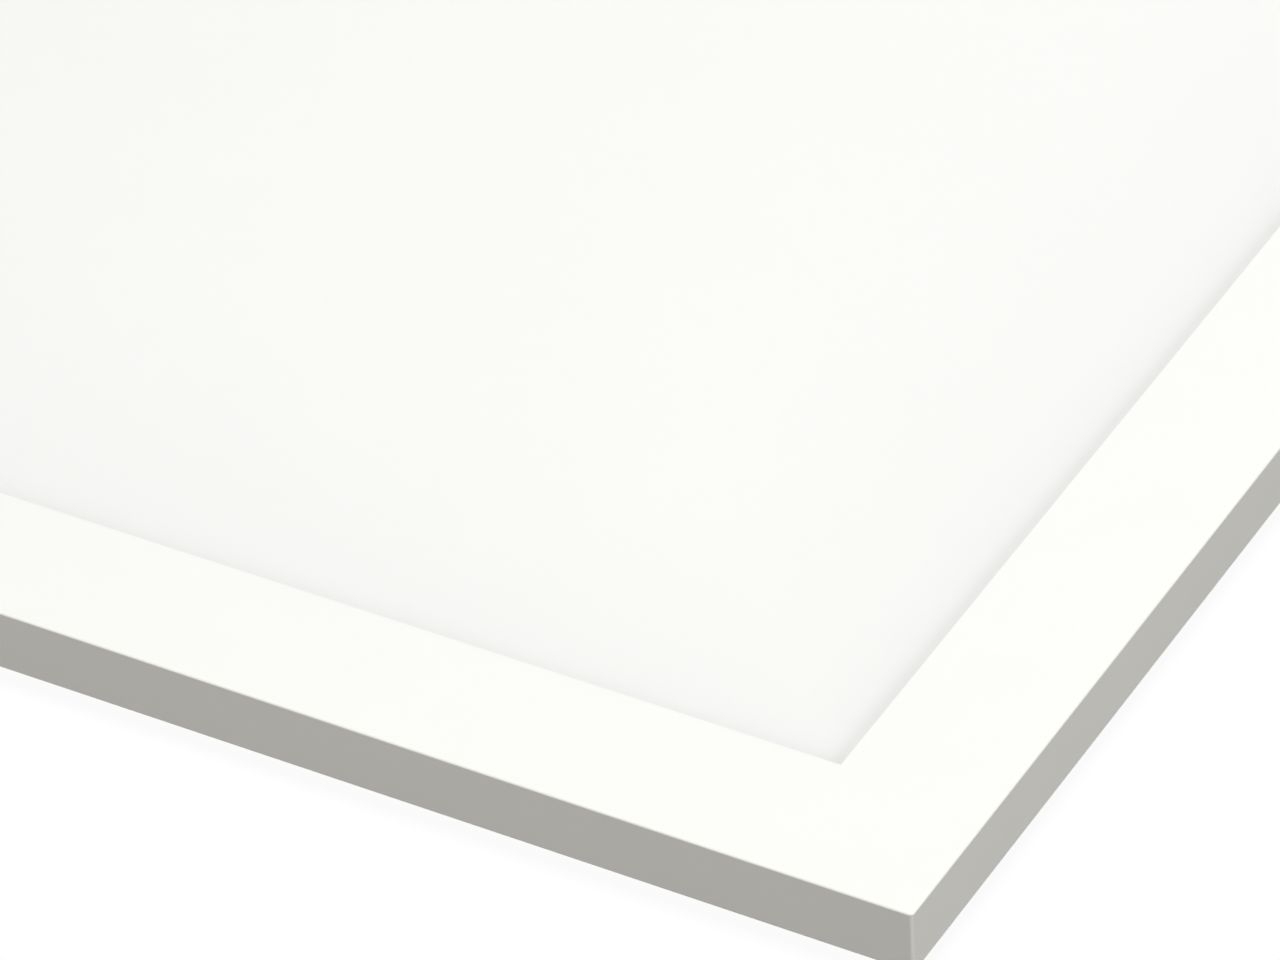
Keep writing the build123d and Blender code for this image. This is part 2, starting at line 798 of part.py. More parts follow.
# ---------------------------------------------------------------- the whole table
def build_parts():
    """Every node's name and its solids, in the table's frame."""
    rear, left, right = rail_place("rear"), rail_place("left"), rail_place("right")
    parts = {
        "rail_front": rail_place("front") * rail(panel_width, panel_depth, long_side_screw_count),
        "rail_rear": rear * rear_rail(),
        "rail_left": left * rail(panel_depth, panel_width, short_side_screw_count),
        "rail_right": right * rail(panel_depth, panel_width, short_side_screw_count),
        "corner_key_screws": key_screws(),
        "diffuser": slab(Rectangle(guide_width, guide_depth), guide_top, lip_underside),
        "light_guide": slab(guide_outline(), guide_bottom, guide_top),
        "reflector_sheet": slab(guide_outline(), reflector_bottom, guide_bottom),
        "foam_backing": foam(),
        "edge_spacer_front": front_spacer(),
        "edge_spacers_rear": rear_spacers(),
        "back_cover": cover(),
        "back_cover_screws": [spot * cover_screw() for spot in cover_screw_spots()],
        "control_board": rear * control_board(),
        "board_insulator": rear * board_insulator(),
        "board_screws": [rear * screw for screw in board_screws()],
        "board_nuts": [rear * nut for nut in board_nuts()],
        "jack_housing": rear * jack_housing(),
        "jack_pin": rear * jack_pin(),
        "jack_tabs": [rear * tab for tab in jack_tabs()],
        "power_button": rear * power_button(),
        "switch_body": rear * switch_body(),
        "switch_plunger": rear * square_bar(plunger_size, plunger_front, plunger_rear),
        "switch_spring": rear * switch_spring(),
        "switch_tabs": [rear * tab for tab in switch_tabs()],
        "dimmer_chip": [rear * piece for piece in dimmer_chip()],
        "driver_inductor": rear * inductor(),
        "driver_transistor": rear * on_board("transistor", transistor_size),
        "board_capacitors": [rear * can for can in capacitors()],
    }
    for corner, (x, y) in foot_spots().items():
        parts[f"corner_key_{corner}"] = corner_place(corner) * corner_key()
        parts[f"foot_{corner}"] = Pos(x, y, 0) * foot()
    # The rear rail's +x is the table's left, and each side rail meets the rear at this end of its own frame.
    for side, name, place, rear_end in ((1, "left", left, -1), (-1, "right", right, 1)):
        parts[f"led_strip_{name}"] = place * strip_bar(strip_back, strip_face)
        parts[f"led_tape_{name}"] = place * strip_tape()
        parts[f"leds_{name}"] = [place * led for led in led_row(led_package())]
        parts[f"led_phosphor_{name}"] = [place * fill for fill in led_row(led_fill(led_fill_depth))]
        parts[f"strip_socket_{name}"] = place * strip_socket(rear_end)
        parts[f"lead_socket_{name}"] = rear * lead_socket(side)
        parts[f"lead_{name}_positive"] = rear * lead(side, 1)
        parts[f"lead_{name}_negative"] = rear * lead(side, -1)
    return parts


def write_parts(parts):
    """Writes one STEP file for each node."""
    os.makedirs("parts", exist_ok=True)
    for name, shape in parts.items():
        solids = shape if isinstance(shape, list) else [shape]
        export_step(Compound([s for piece in solids for s in piece.solids()]), f"parts/{name}.step")


write_parts(build_parts())
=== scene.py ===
"""The light table's finishes, its fine surfaces, the lamps and the camera, in metres."""

import json
import math

import bmesh
import bpy
import numpy as np
from mathutils import Matrix, Vector


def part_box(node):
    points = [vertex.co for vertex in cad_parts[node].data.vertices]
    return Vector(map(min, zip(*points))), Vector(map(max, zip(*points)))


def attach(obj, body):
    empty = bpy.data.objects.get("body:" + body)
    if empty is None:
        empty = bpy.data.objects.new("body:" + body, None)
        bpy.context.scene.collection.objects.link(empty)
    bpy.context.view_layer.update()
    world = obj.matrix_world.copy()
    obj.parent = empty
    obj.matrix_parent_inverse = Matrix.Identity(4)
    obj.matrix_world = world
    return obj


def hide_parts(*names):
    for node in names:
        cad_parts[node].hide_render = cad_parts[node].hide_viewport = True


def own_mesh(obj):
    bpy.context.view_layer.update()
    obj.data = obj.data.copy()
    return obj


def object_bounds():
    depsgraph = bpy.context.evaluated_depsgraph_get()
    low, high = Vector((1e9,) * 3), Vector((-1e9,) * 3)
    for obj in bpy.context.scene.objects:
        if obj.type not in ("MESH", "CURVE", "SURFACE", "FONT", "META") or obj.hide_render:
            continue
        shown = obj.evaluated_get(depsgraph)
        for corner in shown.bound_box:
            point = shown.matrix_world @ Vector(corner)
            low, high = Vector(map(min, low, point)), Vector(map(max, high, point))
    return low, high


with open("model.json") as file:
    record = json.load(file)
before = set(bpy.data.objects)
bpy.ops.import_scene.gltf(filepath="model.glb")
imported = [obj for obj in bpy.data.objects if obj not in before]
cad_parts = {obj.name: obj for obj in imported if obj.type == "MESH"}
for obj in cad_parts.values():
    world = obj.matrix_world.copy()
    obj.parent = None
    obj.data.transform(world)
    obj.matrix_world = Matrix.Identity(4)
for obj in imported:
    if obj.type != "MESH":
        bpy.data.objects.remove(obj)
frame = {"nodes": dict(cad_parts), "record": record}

cad_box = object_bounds()
nodes = frame["nodes"]
MM = 0.001


# ---------------------------------------------------------------- camera
# The eye looks at the table's near right corner from above, through a long lens.
EYE_FROM_CORNER = Vector((0.35875, -0.65039, 0.66089))
VIEW_AZIMUTH = math.radians(31.34)
VIEW_ELEVATION = math.radians(37.88)
VIEW_ROLL = math.radians(-3.27)
LENS_MM = 214.8
SENSOR_MM = 36.0


def view_turn(azimuth, elevation, roll):
    """The rotation of a camera that looks down by the elevation, turned round Z, then rolled on its axis."""
    ahead = Vector((
        -math.sin(azimuth) * math.cos(elevation),
        math.cos(azimuth) * math.cos(elevation),
        -math.sin(elevation),
    ))
    level = Vector((math.cos(azimuth), math.sin(azimuth), 0))
    above = level.cross(ahead)
    right = level * math.cos(roll) + above * math.sin(roll)
    up = right.cross(ahead)
    return Matrix((right, up, -ahead)).transposed().to_4x4()


def add_camera():
    """The camera, placed from the rails' near lower corner."""
    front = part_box("rail_front")
    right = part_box("rail_right")
    corner = Vector((right[1].x, front[0].y, front[0].z))
    data = bpy.data.cameras.new("camera")
    data.lens = LENS_MM
    data.sensor_width = SENSOR_MM
    data.clip_start = 0.01
    data.clip_end = 20
    camera = bpy.data.objects.new("camera", data)
    turn = view_turn(VIEW_AZIMUTH, VIEW_ELEVATION, VIEW_ROLL)
    camera.matrix_world = Matrix.Translation(corner + EYE_FROM_CORNER) @ turn
    bpy.context.scene.collection.objects.link(camera)
    bpy.context.scene.camera = camera


# ---------------------------------------------------------------- node helpers
def new_material(name):
    """An empty node material with its output and one Principled shader."""
    material = bpy.data.materials.new(name)
    material.use_nodes = True
    tree = material.node_tree
    tree.nodes.clear()
    output = tree.nodes.new("ShaderNodeOutputMaterial")
    shader = tree.nodes.new("ShaderNodeBsdfPrincipled")
    tree.links.new(shader.outputs["BSDF"], output.inputs["Surface"])
    return material, tree, shader


def place(tree, scale=(1, 1, 1)):
    """Object coordinates in millimetres, stretched by a scale on each axis."""
    coordinates = tree.nodes.new("ShaderNodeTexCoord")
    mapping = tree.nodes.new("ShaderNodeMapping")
    mapping.inputs["Scale"].default_value = [1 / MM * s for s in scale]
    tree.links.new(coordinates.outputs["Object"], mapping.inputs["Vector"])
    return mapping.outputs["Vector"]


def noise(tree, vector, size, detail=2.0, roughness=0.5):
    """Noise whose features are about a size in millimetres."""
    node = tree.nodes.new("ShaderNodeTexNoise")
    node.inputs["Scale"].default_value = 1 / size
    node.inputs["Detail"].default_value = detail
    node.inputs["Roughness"].default_value = roughness
    tree.links.new(vector, node.inputs["Vector"])
    return node.outputs["Fac"]


def span(tree, value, low, high, start=0.3, end=0.7):
    """Carries a value between start and end to low and high. Noise lies between about 0.3 and 0.7."""
    node = tree.nodes.new("ShaderNodeMapRange")
    limits = {"From Min": start, "From Max": end, "To Min": low, "To Max": high}
    for socket, limit in limits.items():
        node.inputs[socket].default_value = limit
    tree.links.new(value, node.inputs["Value"])
    return node.outputs["Result"]


def calculate(tree, operation, first, second=None):
    """One step of arithmetic on numbers or sockets."""
    node = tree.nodes.new("ShaderNodeMath")
    node.operation = operation
    for socket, value in zip(node.inputs, (first, second)):
        if isinstance(value, (int, float)):
            socket.default_value = value
        elif value is not None:
            tree.links.new(value, socket)
    return node.outputs["Value"]


def blend_colours(tree, factor, first, second):
    """A colour between two, by a factor. The first may be a colour or a socket."""
    node = tree.nodes.new("ShaderNodeMix")
    node.data_type = "RGBA"
    if isinstance(first, tuple):
        node.inputs["A"].default_value = (*first, 1)
    else:
        tree.links.new(first, node.inputs["A"])
    node.inputs["B"].default_value = (*second, 1)
    tree.links.new(factor, node.inputs["Factor"])
    return node.outputs["Result"]


def bump(tree, shader, layers):
    """Chains bumps on the shader, each a height and its depth in millimetres."""
    normal = None
    for height, depth in layers:
        node = tree.nodes.new("ShaderNodeBump")
        node.inputs["Strength"].default_value = 1.0
        node.inputs["Distance"].default_value = depth * MM
        tree.links.new(height, node.inputs["Height"])
        if normal is not None:
            tree.links.new(normal, node.inputs["Normal"])
        normal = node.outputs["Normal"]
    tree.links.new(normal, shader.inputs["Normal"])


def shade(colour, change):
    """A colour made lighter or darker by a share."""
    return tuple(min(1.0, c * (1 + change)) for c in colour)


def finish(
    name,
    colour,
    roughness,
    mottle=(6.0, 0.02),
    grain=((0.5, 0.01),),
    roughness_change=0.04,
    stretch=(1, 1, 1),
    **sockets,
):
    """A surface with slight changes of colour and gloss, and one or more layers of fine relief.

    mottle is the patches' size in millimetres and their share of change. Each grain is a size and a depth.
    """
    material, tree, shader = new_material(name)
    vector = place(tree, stretch)
    size, change = mottle
    patches = noise(tree, vector, size, detail=3.0)
    tint = blend_colours(tree, span(tree, patches, 0, 1), shade(colour, -change), shade(colour, change))
    tree.links.new(tint, shader.inputs["Base Color"])
    smooth, rough = roughness - roughness_change, roughness + roughness_change
    gloss = span(tree, noise(tree, vector, size / 2), smooth, rough)
    tree.links.new(gloss, shader.inputs["Roughness"])
    bump(tree, shader, [(noise(tree, vector, g, detail=2.5), depth) for g, depth in grain])
    for socket, value in sockets.items():
        shader.inputs[socket.replace("_", " ")].default_value = value
    return material


# ---------------------------------------------------------------- the visible finishes
OPAL = (0.956, 0.957, 0.934)
# The colour that the opal's painted shade darkens to beside the bezel.
OPAL_PAINTED_SHADE = (0.85, 0.851, 0.842)
# The colour of the painted shadow line beside the short sides' lip.
OPAL_PAINTED_SHADOW_LINE = (0.6, 0.6, 0.59)
# Each fade of the painted shade from the bezel: its share at the bezel, and its reach in millimetres.
PAINTED_SHADE_FADES = ((0.6, 25.0), (0.4, 2.0))
# The painted shadow line's share at the side rail, and its reach in millimetres.
PAINTED_SHADOW_LINE_FADE = (0.41, 0.8)


def powder_coat():
    """Satin white powder coat: a fine orange peel over a broader, very shallow flow."""
    return finish(
        "white powder coat",
        (0.948, 0.949, 0.918),
        0.5,
        mottle=(14.0, 0.004),
        grain=((0.55, 0.0035), (2.6, 0.004)),
        roughness_change=0.03,
        Specular_IOR_Level=0.2,
    )


def cover_coat():
    """The cover's coat, with a coarser and flatter texture than the rails'."""
    return finish(
        "textured white coat",
        (0.86, 0.86, 0.845),
        0.55,
        mottle=(20.0, 0.008),
        grain=((0.35, 0.012), (1.1, 0.012)),
        Specular_IOR_Level=0.4,
    )


def fade(tree, distance, share, reach):
    """A share that falls off: the share times e to the power of minus the distance over the reach."""
    power = calculate(tree, "MULTIPLY", distance, -1 / reach)
    return calculate(tree, "MULTIPLY", calculate(tree, "EXPONENT", power), share)


def opal():
    """Opal acrylic with a frosted face, and painted shade that makes its colour a little darker towards the
    bezel.

    Two fades add up to the painted shade's share of the colour, by the distance from the nearest rail. Along
    the short sides a third one, by the distance from the side rail, paints a fine shadow line beside the
    lip.
    """
    material = finish(
        "opal acrylic",
        OPAL,
        0.5,
        mottle=(30.0, 0.004),
        grain=((0.18, 0.002),),
        roughness_change=0.02,
        Subsurface_Weight=0.1,
        Subsurface_Radius=(1.0, 1.0, 1.0),
        Subsurface_Scale=0.002,
        Specular_IOR_Level=0.2,
    )
    tree = material.node_tree
    shader = tree.nodes["Principled BSDF"]
    parts = tree.nodes.new("ShaderNodeSeparateXYZ")
    tree.links.new(place(tree), parts.inputs["Vector"])
    half = (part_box("rail_right")[0].x / MM, -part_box("rail_front")[1].y / MM)
    away = [calculate(tree, "ABSOLUTE", parts.outputs[axis]) for axis in "XY"]
    gaps = [calculate(tree, "SUBTRACT", *pair) for pair in zip(half, away)]
    nearest = calculate(tree, "MAXIMUM", calculate(tree, "MINIMUM", *gaps), 0.0)
    side = calculate(tree, "MAXIMUM", gaps[0], 0.0)
    # Painted shade: the opal's colour darkens towards the bezel.
    rim = calculate(tree, "ADD", *(fade(tree, nearest, *each) for each in PAINTED_SHADE_FADES))
    open_colour = shader.inputs["Base Color"].links[0].from_socket
    painted_shade_colour = blend_colours(tree, rim, open_colour, OPAL_PAINTED_SHADE)
    # Painted shadow: a fine dark line beside the lip along the short sides.
    painted_shadow_colour = blend_colours(tree, fade(tree, side, *PAINTED_SHADOW_LINE_FADE), painted_shade_colour, OPAL_PAINTED_SHADOW_LINE)
    tree.links.new(painted_shadow_colour, shader.inputs["Base Color"])
    return material


DOT_PITCH = 1.5
FOAM_CELL = 0.6


def clear_acrylic():
    """The light guide: clear and faintly green, with rows of white dots that turn the light out."""
    material, tree, shader = new_material("clear acrylic")
    vector = place(tree)
    dots = tree.nodes.new("ShaderNodeTexVoronoi")
    dots.inputs["Scale"].default_value = 1 / DOT_PITCH
    dots.inputs["Randomness"].default_value = 0.0
    tree.links.new(vector, dots.inputs["Vector"])
    dot = span(tree, dots.outputs["Distance"], 1.0, 0.0, start=0.22, end=0.3)
    tint = blend_colours(tree, dot, (0.93, 0.97, 0.95), (0.97, 0.97, 0.97))
    tree.links.new(tint, shader.inputs["Base Color"])
    tree.links.new(span(tree, dot, 0.9, 0.15, start=0, end=1), shader.inputs["Transmission Weight"])
    shader.inputs["Roughness"].default_value = 0.06
    shader.inputs["IOR"].default_value = 1.49
    return material


def brushed_metal(name, colour, roughness, along):
    """Metal drawn or turned in one direction, with fine lines stretched along an axis."""
    stretch = [1.0, 1.0, 1.0]
    stretch["XYZ".index(along)] = 0.04
    return finish(
        name,
        colour,
        roughness,
        mottle=(1.5, 0.04),
        grain=((0.12, 0.002),),
        stretch=stretch,
        Metallic=1.0,
    )


def cast_metal():
    """Die-cast zinc: dull, grainy and patchy."""
    return finish("cast zinc", (0.5, 0.5, 0.51), 0.5, mottle=(2.0, 0.12), grain=((0.3, 0.02),), Metallic=1.0)


def moulded(name, colour, roughness=0.5, texture=0.006, **sockets):
    """Moulded plastic with the fine texture of an eroded tool."""
    return finish(name, colour, roughness, mottle=(3.0, 0.02), grain=((0.12, texture),), **sockets)


def rubber():
    """Black rubber with a dry bloom and a fine tooth."""
    return finish(
        "black rubber",
        (0.035, 0.035, 0.036),
        0.72,
        mottle=(2.5, 0.25),
        grain=((0.2, 0.012), (1.4, 0.01)),
        roughness_change=0.08,
        Specular_IOR_Level=0.2,
    )


def foam():
    """Closed-cell foam: small round cells under a dull skin."""
    material, tree, shader = new_material("white foam")
    vector = place(tree)
    cells = tree.nodes.new("ShaderNodeTexVoronoi")
    cells.inputs["Scale"].default_value = 1 / FOAM_CELL
    tree.links.new(vector, cells.inputs["Vector"])
    tint = blend_colours(tree, cells.outputs["Distance"], (0.9, 0.9, 0.87), (0.8, 0.8, 0.77))
    tree.links.new(tint, shader.inputs["Base Color"])
    shader.inputs["Roughness"].default_value = 0.9
    bump(tree, shader, [(cells.outputs["Distance"], 0.12)])
    return material


def tracked_board(name, stretch, track, gap, colours, roughness, depth, offset=0.0, softness=0.1):
    """Solder mask over copper tracks, which stand out of it by a depth.

    A track is a length and a width in millimetres before the stretch. The colours are two for the tracks and
    one for the gaps between them.
    """
    material, tree, shader = new_material(name)
    tracks = tree.nodes.new("ShaderNodeTexBrick")
    tracks.offset = offset
    sizes = {
        "Scale": 1.0,
        "Brick Width": track[0],
        "Row Height": track[1],
        "Mortar Size": gap,
        "Mortar Smooth": softness,
    }
    for socket, size in sizes.items():
        tracks.inputs[socket].default_value = size
    for socket, colour in zip(("Color1", "Color2", "Mortar"), colours):
        tracks.inputs[socket].default_value = (*colour, 1)
    tree.links.new(place(tree, stretch), tracks.inputs["Vector"])
    tree.links.new(tracks.outputs["Color"], shader.inputs["Base Color"])
    shader.inputs["Roughness"].default_value = roughness
    bump(tree, shader, [(tracks.outputs["Fac"], -depth)])
    return material


def control_board_finish():
    """Green solder mask, its tracks running along the board."""
    return tracked_board(
        "green circuit board",
        stretch=(0.35, 1, 1),
        track=(2.1, 0.9),
        gap=0.16,
        colours=((0.035, 0.24, 0.11), (0.045, 0.28, 0.13), (0.02, 0.15, 0.07)),
        roughness=0.35,
        depth=0.03,
        offset=0.37,
        softness=0.2,
    )


def strip_finish():
    """White solder mask, its faint tracks running along the LED strip."""
    return tracked_board(
        "white circuit board",
        stretch=(1, 0.1, 1),
        track=(1.0, 0.5),
        gap=0.06,
        colours=((0.86, 0.86, 0.85), (0.84, 0.84, 0.83), (0.74, 0.74, 0.73)),
        roughness=0.3,
        depth=0.02,
    )


def phosphor():
    """Yellow phosphor gel, denser in places."""
    return finish(
        "phosphor gel",
        (0.9, 0.66, 0.1),
        0.2,
        mottle=(0.8, 0.12),
        grain=((0.15, 0.004),),
        Subsurface_Weight=0.3,
        Subsurface_Scale=0.0005,
    )


def all_finishes():
    """Each finish by the name of the record's material slot."""
    return {
        "frame_white": powder_coat(),
        "key_zinc": cast_metal(),
        "screw_steel": brushed_metal("plated steel", (0.56, 0.56, 0.55), 0.36, "Z"),
        "diffuser_opal": opal(),
        "guide_clear": clear_acrylic(),
        "reflector_white": moulded("white film", (0.93, 0.93, 0.93), 0.3, 0.001),
        "foam_white": foam(),
        "spacer_white": moulded("white spacer plastic", (0.85, 0.85, 0.84)),
        "cover_white": cover_coat(),
        "board_green": control_board_finish(),
        "insulator_film": moulded("amber film", (0.5, 0.27, 0.05), 0.15, 0.001),
        "jack_black": moulded("black nylon", (0.022, 0.022, 0.023), 0.45),
        "contact_nickel": brushed_metal("nickel plate", (0.72, 0.7, 0.66), 0.28, "Y"),
        "button_white": moulded("white button plastic", (0.88, 0.88, 0.86), 0.4, 0.004),
        "switch_black": moulded("black switch plastic", (0.03, 0.03, 0.03), 0.5),
        "plunger_white": moulded("white plunger plastic", (0.8, 0.8, 0.78), 0.5),
        "chip_black": moulded("black epoxy", (0.03, 0.03, 0.032), 0.6, 0.012),
        "inductor_grey": moulded("grey ferrite", (0.09, 0.09, 0.1), 0.55, 0.02),
        "capacitor_can": brushed_metal("drawn aluminium", (0.7, 0.7, 0.71), 0.3, "X"),
        "strip_white": strip_finish(),
        "tape_grey": moulded("thermal tape", (0.5, 0.5, 0.52), 0.7, 0.01),
        "led_package": moulded("white package plastic", (0.9, 0.9, 0.88), 0.4),
        "led_phosphor": phosphor(),
        "socket_white": moulded("natural nylon", (0.8, 0.78, 0.7), 0.45, 0.004, Subsurface_Weight=0.1),
        "lead_red": moulded("red insulation", (0.45, 0.02, 0.015), 0.35, 0.003),
        "lead_black": moulded("black insulation", (0.018, 0.018, 0.018), 0.35, 0.003),
        "foot_rubber": rubber(),
    }


def dress(obj, material):
    """Gives an object one material."""
    obj.data.materials.clear()
    obj.data.materials.append(material)


# ---------------------------------------------------------------- surfaces
# Sizes named from here to the lamps are in millimetres.
FULL_TURN = np.linspace(0, 2 * np.pi, 72, endpoint=False)
SHARP_EDGE = math.radians(35)
SAME_POINT = 0.0001


def arc(centre, radius, start, end, count):
    """Points of a circle's arc: the centre plus the radius times the cosine and sine of each angle."""
    angle = np.radians(np.linspace(start, end, count))
    return np.stack([centre[0] + radius * np.cos(angle), centre[1] + radius * np.sin(angle)], 1)


def grid_faces(rows, columns, closed):
    """Quads between the neighbours of a grid, whose columns close on themselves or don't."""
    row = np.arange(rows - 1)[:, None] * columns
    column = np.arange(columns if closed else columns - 1)[None, :]
    following = (column + 1) % columns
    quads = [row + column, row + following, row + columns + following, row + columns + column]
    return np.stack(quads, -1).reshape(-1, 4)


def surface_mesh(name, tubes, sheets):
    """One mesh from grids of points in millimetres: tubes close round their columns, and sheets are open.

    Points that meet are merged, so a row at one point is a pole, and a sheet's rim joins the tube it ends.
    """
    points, faces, start = [], [], 0
    for grids, closed in ((tubes, True), (sheets, False)):
        for grid in grids:
            points.append(grid.reshape(-1, 3))
            faces.append(grid_faces(*grid.shape[:2], closed) + start)
            start += grid.shape[0] * grid.shape[1]
    mesh = bpy.data.meshes.new(name)
    mesh.from_pydata((np.concatenate(points) * MM).tolist(), [], np.concatenate(faces).tolist())
    tidy = bmesh.new()
    tidy.from_mesh(mesh)
    bmesh.ops.remove_doubles(tidy, verts=tidy.verts, dist=SAME_POINT * MM)
    bmesh.ops.dissolve_degenerate(tidy, edges=tidy.edges, dist=SAME_POINT * MM / 10)
    bmesh.ops.recalc_face_normals(tidy, faces=tidy.faces)
    tidy.to_mesh(mesh)
    tidy.free()
    return mesh


def add_piece(name, slot, body, replaced, tubes, sheets=()):
    """A new piece from its grids, in its finish, on its body, in place of CAD nodes."""
    mesh = surface_mesh(name, tubes, sheets)
    obj = bpy.data.objects.new(name, mesh)
    bpy.context.scene.collection.objects.link(obj)
    dress(obj, finishes[slot])
    mesh.shade_smooth()
    mesh.set_sharp_from_angle(angle=SHARP_EDGE)
    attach(obj, body)
    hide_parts(*replaced)
    return obj


def turned(profile, angle=FULL_TURN):
    """A profile of radius and height turned round Z: x is r cos a, y is r sin a, z is the height."""
    radius, height = np.array(profile)[:, :1], np.array(profile)[:, 1:]
    return np.stack([radius * np.cos(angle), radius * np.sin(angle), height + 0 * angle], -1)


# A cross recess, in shares of its face's radius: half an arm's width, its reach, and the slope of its walls.
ARM_WIDTH = 0.125
ARM_REACH = 0.54
SIDE_SLOPE = 0.035
END_SLOPE = 0.04


def crossed_face(radius, level, crown, depth):
    """A round face with a cross recess: a square grid bent to a disc, its lines along the recess's walls.

    On the disc x is u times the root of 1 - v squared / 2, and y likewise. With n the smaller and f the
    larger of |u| and |v|, the face's height is the level, plus the crown times the squared distance from the
    middle, plus the depth times (1 - 1.1 f) where n is under the arm's width and f under its reach. The
    depth eases to nothing over the slopes of the recess's sides and ends.
    """
    across = [0, 0.045, ARM_WIDTH - SIDE_SLOPE, ARM_WIDTH]
    half = np.array([*across, 0.25, 0.38, ARM_REACH - END_SLOPE, ARM_REACH, 0.7, 0.86, 1])
    line = np.concatenate([-half[:0:-1], half])
    u, v = np.meshgrid(line, line, indexing="ij")
    x, y = u * np.sqrt(1 - v**2 / 2), v * np.sqrt(1 - u**2 / 2)
    near, far = np.minimum(abs(u), abs(v)), np.maximum(abs(u), abs(v))
    inside = np.clip((ARM_WIDTH - near) / SIDE_SLOPE, 0, 1) * np.clip((ARM_REACH - far) / END_SLOPE, 0, 1)
    z = level + crown * (x**2 + y**2) + depth * (1 - 1.1 * far) * inside
    return np.stack([x * radius, y * radius, z], -1)


def rim_angles(face):
    """The angles of a bent square grid's rim, in order round it."""
    rim = np.concatenate([face[0, :-1], face[:-1, -1], face[-1, :0:-1], face[:0:-1, 0]])
    return np.arctan2(rim[:, 1], rim[:, 0])


def set_at(grid, spot, turn=0.0):
    """A grid turned round Z by an angle, then moved to a spot in the plan."""
    cosine, sine = math.cos(turn), math.sin(turn)
    moved = grid @ np.array([[cosine, sine, 0], [-sine, cosine, 0], [0, 0, 1]])
    return moved + np.array([spot[0], spot[1], 0])


def solids(node):
    """The low and high corners of a node's separate solids, in millimetres.

    Each point takes the lowest label at the ends of its edges until no label changes.
    """
    mesh = nodes[node].data
    points = np.empty(len(mesh.vertices) * 3)
    mesh.vertices.foreach_get("co", points)
    ends = np.empty(len(mesh.edges) * 2, dtype=int)
    mesh.edges.foreach_get("vertices", ends)
    spots, same = np.unique(np.round(points.reshape(-1, 3), 7), axis=0, return_inverse=True)
    ends = same.ravel()[ends].reshape(-1, 2)
    label, settled = np.arange(len(spots)), False
    while not settled:
        lowest, fresh = label[ends].min(1), label.copy()
        np.minimum.at(fresh, ends[:, 0], lowest)
        np.minimum.at(fresh, ends[:, 1], lowest)
        label, settled = fresh, np.array_equal(fresh, label)
    groups = [spots[label == k] for k in np.unique(label)]
    return np.array([(group.min(0), group.max(0)) for group in groups]) / MM


def box_mm(node):
    """A node's low and high corners in millimetres."""
    return np.array(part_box(node)) / MM


# ---------------------------------------------------------------- screws
COVER_SCREW_SHANK = 1.25
KEY_SCREW_SHANK = 1.25
BOARD_SCREW_SHANK = 1.0
SCREW_TIP = 0.3
RECESS_DEPTH = 0.65


def add_screws(name, node, face, profile):
    """Screws from a driving face, which looks down, and a profile that goes on from its rim.

    Each is turned to an angle of its own, 2.4 radians on from the one before, as a driver leaves them.
    """
    stem = turned(profile, rim_angles(face))
    spots = [corners[:, :2].mean(0) for corners in solids(node)]
    turns = [2.4 * i for i in range(len(spots))]
    stems = [set_at(stem, spot, turn) for spot, turn in zip(spots, turns)]
    faces = [set_at(face, spot, turn) for spot, turn in zip(spots, turns)]
    add_piece(name, "screw_steel", "table", [node], stems, faces)


def add_cover_screws():
    """The cover's wafer-head screws: a low crown, a rounded rim, the head's flat back and the shank."""
    low, high = solids("back_cover_screws")[0]
    radius, seat, shank = (high[0] - low[0]) / 2, box_mm("back_cover")[0][2], COVER_SCREW_SHANK
    rounding, crown = 0.4, 0.1
    face = crossed_face(radius - rounding, low[2], crown, RECESS_DEPTH + crown)
    rim = arc((radius - rounding, low[2] + crown + rounding), rounding, -90, 0, 7)
    tip = [(shank, high[2] - SCREW_TIP), (shank - SCREW_TIP, high[2]), (0, high[2])]
    add_screws("cover_screws", "back_cover_screws", face, [*rim, (radius, seat), (shank, seat), *tip])


def add_sunk_screws(name, node, shank):
    """Countersunk screws: a flat face with a dulled rim, a cone at 45 degrees and the shank."""
    low, high = solids(node)[0]
    radius = (high[0] - low[0]) / 2
    dulled = radius - 0.06
    face = crossed_face(dulled, low[2], 0.0, RECESS_DEPTH)
    head = [(dulled, low[2]), (radius, low[2] + 0.05), (shank, low[2] + radius - shank)]
    tip = [(shank, high[2] - SCREW_TIP), (shank - SCREW_TIP, high[2]), (0, high[2])]
    add_screws(name, node, face, [*head, *tip])


# ---------------------------------------------------------------- feet
COVER_SHEET = 0.8
FOOT_FLARE = 1.0  # from the ground face out to the widest radius
FOOT_EDGE = 0.5
FOOT_STEM = 2.0
FOOT_BARB = 2.9
DIMPLE_RADIUS = 2.3
DIMPLE_DEPTH = 0.75
DIMPLE_DOME = 0.05  # how much less deep it is at its edge
DIMPLE_LIP = 0.25
RING_DEPTH = 0.12


